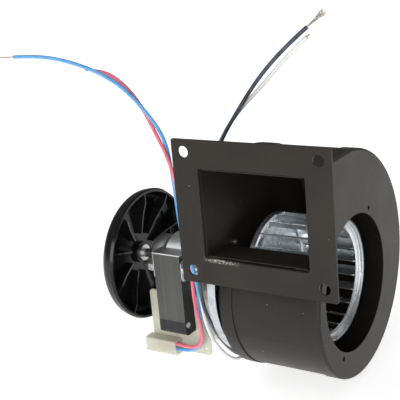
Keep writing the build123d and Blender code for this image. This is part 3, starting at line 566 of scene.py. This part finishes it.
def lathe(name, near_x, far_x, radius, centre, profile):
    """A ring turned about the shaft from (share of its width, share of its radius) points."""
    shape = bmesh.new()
    rows = []
    for step in range(RING_STEPS):
        turn = 2 * math.pi * step / RING_STEPS
        row = []
        for share, reach in profile:
            x = near_x + (far_x - near_x) * share
            y = centre.y + radius * reach * math.cos(turn)
            z = centre.z + radius * reach * math.sin(turn)
            row.append(shape.verts.new((x, y, z)))
        rows.append(row)
    for row, after in zip(rows, rows[1:] + rows[:1]):
        for n in range(len(profile)):
            m = (n + 1) % len(profile)
            face = shape.faces.new((row[n], row[m], after[m], after[n]))
            face.smooth = True
    bmesh.ops.recalc_face_normals(shape, faces=shape.faces)
    data = bpy.data.meshes.new(name)
    shape.to_mesh(data)
    shape.free()
    made = bpy.data.objects.new(name, data)
    bpy.context.scene.collection.objects.link(made)
    return made


for name, side in (("wheel_outer_ring", 1), ("wheel_inner_ring", -1)):
    low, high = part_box(name)
    near_x, far_x = (low.x, high.x) if side > 0 else (high.x, low.x)
    ring = lathe(name + "_rolled", near_x, far_x, (high.y - low.y) / 2, (low + high) / 2, RING_PROFILE)
    ring.data.materials.append(MADE["wheel_zinc"])
    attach(ring, "rotor")
    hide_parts(name)
    print(ring.name, "radius", round((high.y - low.y) / 2 / MM, 1), "mm")

# %% [markdown]
# ## Stripped ends
# Each lead ends in bare tinned strands. A plain rod would look like a nail, so every strand is its
# own thin curve. The blue, red and white ends are still twisted. The black one has come untwisted,
# and its strands fan out.

# %% Lay the strands
STRAND_R = 0.00017
STRANDS = 16
OUTER_RING = 0.00050
INNER_RING = 0.00024
TUCKED_IN = 0.0008
STRAND_POINTS = 9


def strand_paths(end, onward, length, spread, turns, seed):
    """Points of each strand: a twist about the lead's line that opens out towards its tip."""
    draw = random.Random(seed)
    side = onward.orthogonal().normalized()
    other = onward.cross(side)
    paths = []
    for strand in range(STRANDS):
        start = 2 * math.pi * strand / STRANDS + draw.uniform(-0.15, 0.15)
        ring = OUTER_RING if strand % 3 else INNER_RING
        reach = length * draw.uniform(0.86, 0.985)
        opening = spread * draw.uniform(0.15, 1.0)
        path = []
        for step in range(STRAND_POINTS):
            share = step / (STRAND_POINTS - 1)
            angle = start + 2 * math.pi * turns * share
            away = ring + opening * share ** 1.7 * length
            swing = math.cos(angle) * side + math.sin(angle) * other
            path.append(end + onward * (share * reach - TUCKED_IN * (1 - share)) + swing * away)
        paths.append(path)
    return paths


ENDS = {"red_lead": (0.01, 1.0), "blue_lead": (0.012, 2.2), "black_lead": (0.13, 0.35),
        "white_lead": (0.02, 0.5)}
for seed, (name, (spread, turns)) in enumerate(ENDS.items()):
    route = [Vector(spot) for spot in ROUTES[name]]
    onward = (route[-1] - route[-2]).normalized()
    paths = strand_paths(route[-1], onward, BARE_LENGTH[name], spread, turns, seed)
    strands = wire_curve(name.replace("lead", "strands"), paths, STRAND_R, sides=2)
    strands.data.materials.append(MADE["tinned_wire"])
    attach(strands, "housing")
    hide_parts(name.replace("lead", "wire_end"))
    lead = LEADS[name]
    lead.data.materials.append(MADE[name.replace("lead", "cover")])
    print(name, "ends in", len(paths), "strands")

# %% [markdown]
# ## Light
# A pale, faintly glowing floor and four large soft lamps give the even light of a studio table. The
# key lamp hangs over the left shoulder, a broad one fills from the right, one in front reaches the
# wheel through the mouth, and one behind picks out edges. The lamps are large because glossy black
# plastic and zinc show mostly what they reflect.

# %% Floor and lamps
def lamp(name, spot, aim, size, power):
    data = bpy.data.lights.new(name, "AREA")
    data.shape = "RECTANGLE"
    data.size = size[0]
    data.size_y = size[1]
    data.energy = power
    made = bpy.data.objects.new(name, data)
    made.location = spot
    made.rotation_euler = (aim - spot).to_track_quat("-Z", "Y").to_euler()
    bpy.context.scene.collection.objects.link(made)


middle = (CAD_LOW + CAD_HIGH) / 2
FLOOR_HALF = 6.0
floor_data = bpy.data.meshes.new("floor")
corners = [(x * FLOOR_HALF, y * FLOOR_HALF, CAD_LOW.z) for x, y in ((-1, -1), (1, -1), (1, 1), (-1, 1))]
floor_data.from_pydata(corners, [], [(0, 1, 2, 3)])
floor = bpy.data.objects.new("floor", floor_data)
bpy.context.scene.collection.objects.link(floor)
floor_finish = Finish("floor", Specular_IOR_Level=0.1, Emission_Strength=1.0)
floor_finish.glow(floor_finish.between(floor_finish.along(1), 0.1, 0.7, 0.68, 1.0))
grain = floor_finish.noise(3.0)
floor_finish.colour(floor_finish.mix(grain, (0.90, 0.90, 0.90), (0.94, 0.94, 0.94)))
floor_finish.roughness(floor_finish.between(grain, 0.0, 1.0, 0.85, 0.95))
floor_data.materials.append(floor_finish.material)
floor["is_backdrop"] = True

LAMPS = {
    "key": ((-0.5, -0.7, 1.1), (1.0, 0.8), 3.2),
    "fill": ((1.2, -0.7, 0.5), (0.9, 0.9), 1.6),
    "front": ((0.35, -1.25, 0.30), (0.7, 0.7), 7.5),
    "behind": ((0.5, 1.1, 0.8), (1.0, 0.6), 1.6),
}
for name, (away, size, power) in LAMPS.items():
    lamp(name, middle + Vector(away), middle, size, power)
SKY = 0.17
world = bpy.data.worlds.new("studio")
world.use_nodes = True
world.node_tree.nodes["Background"].inputs["Color"].default_value = (1.0, 1.0, 1.0, 1.0)
world.node_tree.nodes["Background"].inputs["Strength"].default_value = SKY
bpy.context.scene.world = world
bpy.context.scene.view_settings.view_transform = "Standard"
print("floor at", round(CAD_LOW.z / MM, 1), "mm")

# %% [markdown]
# ## Measure and finish
# The model has to stay the size of the frame that it was built round, so the last line prints how
# much its box has grown past the frame's.

# %% Print how much the box grew
low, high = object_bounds()
print("grew", [round(side / MM, 2) for side in (high - low) - (CAD_HIGH - CAD_LOW)], "mm")
